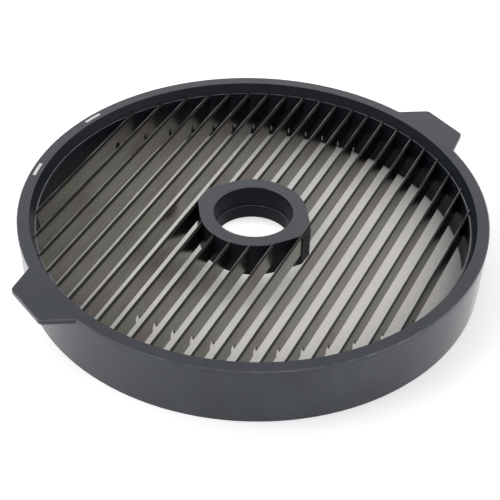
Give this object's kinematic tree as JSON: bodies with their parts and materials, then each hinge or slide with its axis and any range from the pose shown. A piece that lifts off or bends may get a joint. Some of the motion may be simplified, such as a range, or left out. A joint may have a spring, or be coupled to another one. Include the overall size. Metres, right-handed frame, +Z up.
{
  "type": "chipping disc",
  "caption": "Round chipping disc: a plastic ring with ears at the rim holds a grid of parallel steel blades around a bored hub, to cut sliced vegetables into strips.",
  "frame": {"origin": "on the ring axis, in the plane the ring stands on", "axes": "+Z up along the ring axis towards the ground blade edges, +Y along the blades"},
  "size_m": [0.206, 0.2102, 0.0289],
  "materials": {
    "frame_plastic": "satin moulded",
    "blade_steel": "fine rolled grain, ground edge",
    "mark_white": "plain white"
  },
  "bodies": {
    "root": {"frame_ring": "frame_plastic", "hub": "frame_plastic", "blade_01": "blade_steel", "blade_02": "blade_steel", "blade_03": "blade_steel", "blade_04": "blade_steel", "blade_05": "blade_steel", "blade_06": "blade_steel", "blade_07": "blade_steel", "blade_08": "blade_steel", "blade_09_rear": "blade_steel", "blade_09_front": "blade_steel", "blade_10_rear": "blade_steel", "blade_10_front": "blade_steel", "blade_11_rear": "blade_steel", "blade_11_front": "blade_steel", "blade_12_rear": "blade_steel", "blade_12_front": "blade_steel", "blade_13_rear": "blade_steel", "blade_13_front": "blade_steel", "blade_14": "blade_steel", "blade_15": "blade_steel", "blade_16": "blade_steel", "blade_17": "blade_steel", "blade_18": "blade_steel", "blade_19": "blade_steel", "blade_20": "blade_steel", "blade_21": "blade_steel", "index_mark_rear": "mark_white", "index_mark_front": "mark_white"}
  },
  "joints": []
}
